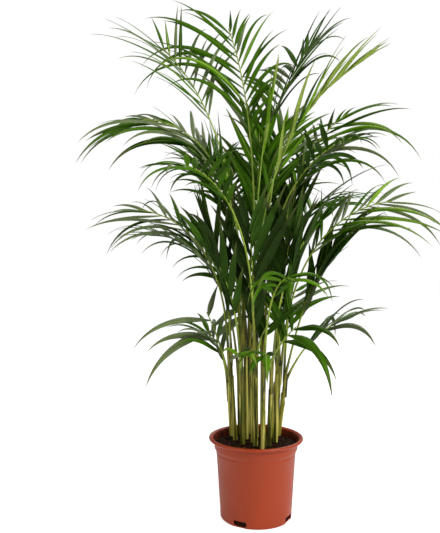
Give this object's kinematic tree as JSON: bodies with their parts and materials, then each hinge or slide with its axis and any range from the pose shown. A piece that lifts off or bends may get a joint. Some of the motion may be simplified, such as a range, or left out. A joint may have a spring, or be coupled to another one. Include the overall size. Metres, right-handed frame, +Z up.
{
  "type": "potted areca palm",
  "caption": "Tall potted palm with a clump of slim canes and arching feathered fronds, rooted in a round nursery pot that stands on its flat underside.",
  "frame": {"origin": "centre of the pot's flat underside", "axes": "+Z up along the pot's axis; -Y towards the side that the picture shows; +X to the right seen from there"},
  "size_m": [0.8672, 0.8161, 1.3688],
  "materials": {
    "pot_plastic": "satin terracotta-coloured moulded plastic",
    "potting_soil": "dark crumbly potting mix",
    "cane_skin": "smooth olive-yellow stem skin with paler streaks",
    "frond_green": "satin deep green leaf",
    "young_frond": "satin yellow-green young leaf"
  },
  "bodies": {
    "root": {"pot": "pot_plastic", "soil": "potting_soil", "cane_1": "cane_skin", "cane_2": "cane_skin", "cane_3": "cane_skin", "cane_4": "cane_skin", "cane_5": "cane_skin", "cane_6": "cane_skin", "cane_7": "cane_skin", "cane_8": "cane_skin", "cane_9": "cane_skin", "cane_10": "cane_skin", "cane_11": "cane_skin", "cane_12": "cane_skin", "cane_13": "cane_skin", "cane_14": "cane_skin", "cane_15": "cane_skin", "cane_16": "cane_skin", "cane_17": "cane_skin", "top_frond_1": "frond_green", "top_frond_2": "frond_green", "top_frond_3": "frond_green", "top_frond_4": "young_frond", "top_frond_5": "young_frond", "upper_frond_1": "frond_green", "upper_frond_2": "frond_green", "upper_frond_3": "frond_green", "upper_frond_4": "frond_green", "upper_frond_5": "frond_green", "upper_frond_6": "frond_green", "upper_frond_7": "frond_green", "upper_frond_8": "frond_green", "middle_frond_1": "frond_green", "middle_frond_2": "frond_green", "middle_frond_3": "frond_green", "middle_frond_4": "frond_green", "middle_frond_5": "frond_green", "middle_frond_6": "frond_green", "middle_frond_7": "frond_green", "middle_frond_8": "frond_green", "middle_frond_9": "frond_green", "lower_frond_1": "frond_green", "lower_frond_2": "frond_green", "lower_frond_3": "frond_green", "lower_frond_4": "frond_green", "lower_frond_5": "frond_green", "lower_frond_6": "frond_green", "lower_frond_7": "frond_green", "lower_frond_8": "frond_green", "lower_frond_9": "frond_green", "inner_frond_1": "frond_green", "inner_frond_2": "frond_green", "inner_frond_3": "frond_green", "inner_frond_4": "frond_green", "inner_frond_5": "frond_green", "inner_frond_6": "frond_green"}
  },
  "joints": []
}
